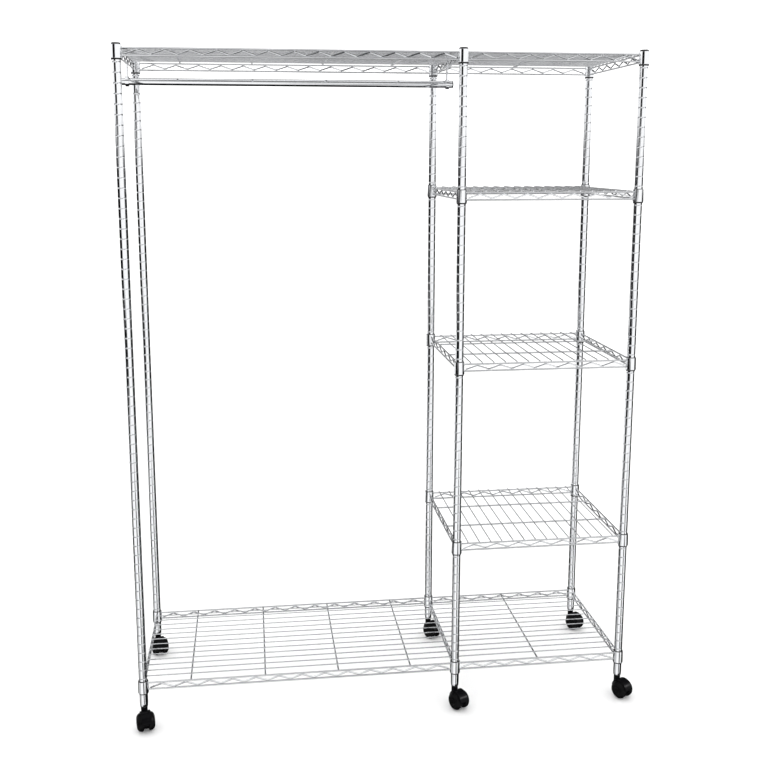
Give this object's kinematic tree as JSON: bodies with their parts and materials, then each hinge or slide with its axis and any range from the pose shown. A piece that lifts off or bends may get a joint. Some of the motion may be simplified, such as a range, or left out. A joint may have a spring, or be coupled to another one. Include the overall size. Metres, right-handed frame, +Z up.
{
  "type": "open frame wardrobe",
  "caption": "Open wire-shelving wardrobe on swivel casters: grooved chrome posts carry wire shelves, a shelf bay stands beside a tall hanging bay with a rod.",
  "frame": {"origin": "on the floor, midway between the outer posts and midway between the front and back rows", "axes": "+X along the rack from the hanging bay to the shelf bay, +Y from front to back, +Z up"},
  "size_m": [1.4046, 0.4936, 1.815],
  "materials": {
    "chrome_posts": "polished chrome on grooved tube",
    "chrome_wire": "polished chrome on welded wire",
    "chrome_rod": "polished chrome on tube and hangers",
    "black_fittings": "satin black moulded plastic",
    "caster_hood": "glossy black moulded plastic",
    "caster_wheel": "glossy black moulded plastic",
    "plain_steel": "bright steel"
  },
  "bodies": {
    "frame": {"back_left_post": "chrome_posts", "back_middle_post": "chrome_posts", "back_right_post": "chrome_posts", "bottom_shelf_collars": "chrome_wire", "bottom_shelf_deck_wires": "chrome_wire", "bottom_shelf_sleeves": "black_fittings", "bottom_shelf_trusses": "chrome_wire", "caster_stems": "plain_steel", "front_left_post": "chrome_posts", "front_middle_post": "chrome_posts", "front_right_post": "chrome_posts", "hanging_rod": "chrome_rod", "hanging_rod_end_caps": "black_fittings", "left_rod_hanger": "chrome_rod", "lower_shelf_collars": "chrome_wire", "lower_shelf_deck_wires": "chrome_wire", "lower_shelf_sleeves": "black_fittings", "lower_shelf_trusses": "chrome_wire", "middle_rod_hanger": "chrome_rod", "middle_shelf_collars": "chrome_wire", "middle_shelf_deck_wires": "chrome_wire", "middle_shelf_sleeves": "black_fittings", "middle_shelf_trusses": "chrome_wire", "post_foot_plugs": "black_fittings", "post_top_caps": "black_fittings", "top_shelf_collars": "chrome_wire", "top_shelf_deck_wires": "chrome_wire", "top_shelf_sleeves": "black_fittings", "top_shelf_trusses": "chrome_wire", "upper_shelf_collars": "chrome_wire", "upper_shelf_deck_wires": "chrome_wire", "upper_shelf_sleeves": "black_fittings", "upper_shelf_trusses": "chrome_wire"},
    "front_left_caster": {"front_left_caster_hood": "caster_hood", "front_left_caster_axle": "plain_steel"},
    "front_left_wheel_left": {"front_left_caster_wheel_left": "caster_wheel"},
    "front_left_wheel_right": {"front_left_caster_wheel_right": "caster_wheel"},
    "front_middle_caster": {"front_middle_caster_hood": "caster_hood", "front_middle_caster_axle": "plain_steel"},
    "front_middle_wheel_left": {"front_middle_caster_wheel_left": "caster_wheel"},
    "front_middle_wheel_right": {"front_middle_caster_wheel_right": "caster_wheel"},
    "front_right_caster": {"front_right_caster_hood": "caster_hood", "front_right_caster_axle": "plain_steel"},
    "front_right_wheel_left": {"front_right_caster_wheel_left": "caster_wheel"},
    "front_right_wheel_right": {"front_right_caster_wheel_right": "caster_wheel"},
    "back_left_caster": {"back_left_caster_hood": "caster_hood", "back_left_caster_axle": "plain_steel"},
    "back_left_wheel_left": {"back_left_caster_wheel_left": "caster_wheel"},
    "back_left_wheel_right": {"back_left_caster_wheel_right": "caster_wheel"},
    "back_middle_caster": {"back_middle_caster_hood": "caster_hood", "back_middle_caster_axle": "plain_steel"},
    "back_middle_wheel_left": {"back_middle_caster_wheel_left": "caster_wheel"},
    "back_middle_wheel_right": {"back_middle_caster_wheel_right": "caster_wheel"},
    "back_right_caster": {"back_right_caster_hood": "caster_hood", "back_right_caster_axle": "plain_steel"},
    "back_right_wheel_left": {"back_right_caster_wheel_left": "caster_wheel"},
    "back_right_wheel_right": {"back_right_caster_wheel_right": "caster_wheel"}
  },
  "joints": [
    {"name": "front_left_swivel", "type": "hinge", "parent": "frame", "child": "front_left_caster", "pos_m": [-0.6725, -0.2145, 0.0475], "axis": [0, 0, 1], "continuous": true},
    {"name": "front_left_wheel_left_spin", "type": "hinge", "parent": "front_left_caster", "child": "front_left_wheel_left", "pos_m": [-0.66778, -0.23496, 0.025], "axis": [0.9744, 0.225, 0], "continuous": true},
    {"name": "front_left_wheel_right_spin", "type": "hinge", "parent": "front_left_caster", "child": "front_left_wheel_right", "pos_m": [-0.66778, -0.23496, 0.025], "axis": [0.9744, 0.225, 0], "continuous": true},
    {"name": "front_middle_swivel", "type": "hinge", "parent": "frame", "child": "front_middle_caster", "pos_m": [0.1925, -0.2145, 0.0475], "axis": [0, 0, 1], "continuous": true},
    {"name": "front_middle_wheel_left_spin", "type": "hinge", "parent": "front_middle_caster", "child": "front_middle_wheel_left", "pos_m": [0.20104, -0.23368, 0.025], "axis": [0.9135, 0.4067, 0], "continuous": true},
    {"name": "front_middle_wheel_right_spin", "type": "hinge", "parent": "front_middle_caster", "child": "front_middle_wheel_right", "pos_m": [0.20104, -0.23368, 0.025], "axis": [0.9135, 0.4067, 0], "continuous": true},
    {"name": "front_right_swivel", "type": "hinge", "parent": "frame", "child": "front_right_caster", "pos_m": [0.6725, -0.2145, 0.0475], "axis": [0, 0, 1], "continuous": true},
    {"name": "front_right_wheel_left_spin", "type": "hinge", "parent": "front_right_caster", "child": "front_right_wheel_left", "pos_m": [0.68171, -0.23337, 0.025], "axis": [0.8988, 0.4384, 0], "continuous": true},
    {"name": "front_right_wheel_right_spin", "type": "hinge", "parent": "front_right_caster", "child": "front_right_wheel_right", "pos_m": [0.68171, -0.23337, 0.025], "axis": [0.8988, 0.4384, 0], "continuous": true},
    {"name": "back_left_swivel", "type": "hinge", "parent": "frame", "child": "back_left_caster", "pos_m": [-0.6725, 0.2145, 0.0475], "axis": [0, 0, 1], "continuous": true},
    {"name": "back_left_wheel_left_spin", "type": "hinge", "parent": "back_left_caster", "child": "back_left_wheel_left", "pos_m": [-0.66566, 0.19464, 0.025], "axis": [0.9455, 0.3256, 0], "continuous": true},
    {"name": "back_left_wheel_right_spin", "type": "hinge", "parent": "back_left_caster", "child": "back_left_wheel_right", "pos_m": [-0.66566, 0.19464, 0.025], "axis": [0.9455, 0.3256, 0], "continuous": true},
    {"name": "back_middle_swivel", "type": "hinge", "parent": "frame", "child": "back_middle_caster", "pos_m": [0.1925, 0.2145, 0.0475], "axis": [0, 0, 1], "continuous": true},
    {"name": "back_middle_wheel_left_spin", "type": "hinge", "parent": "back_middle_caster", "child": "back_middle_wheel_left", "pos_m": [0.203, 0.19631, 0.025], "axis": [0.866, 0.5, 0], "continuous": true},
    {"name": "back_middle_wheel_right_spin", "type": "hinge", "parent": "back_middle_caster", "child": "back_middle_wheel_right", "pos_m": [0.203, 0.19631, 0.025], "axis": [0.866, 0.5, 0], "continuous": true},
    {"name": "back_right_swivel", "type": "hinge", "parent": "frame", "child": "back_right_caster", "pos_m": [0.6725, 0.2145, 0.0475], "axis": [0, 0, 1], "continuous": true},
    {"name": "back_right_wheel_left_spin", "type": "hinge", "parent": "back_right_caster", "child": "back_right_wheel_left", "pos_m": [0.68171, 0.19562, 0.025], "axis": [0.8988, 0.4384, 0], "continuous": true},
    {"name": "back_right_wheel_right_spin", "type": "hinge", "parent": "back_right_caster", "child": "back_right_wheel_right", "pos_m": [0.68171, 0.19562, 0.025], "axis": [0.8988, 0.4384, 0], "continuous": true}
  ]
}
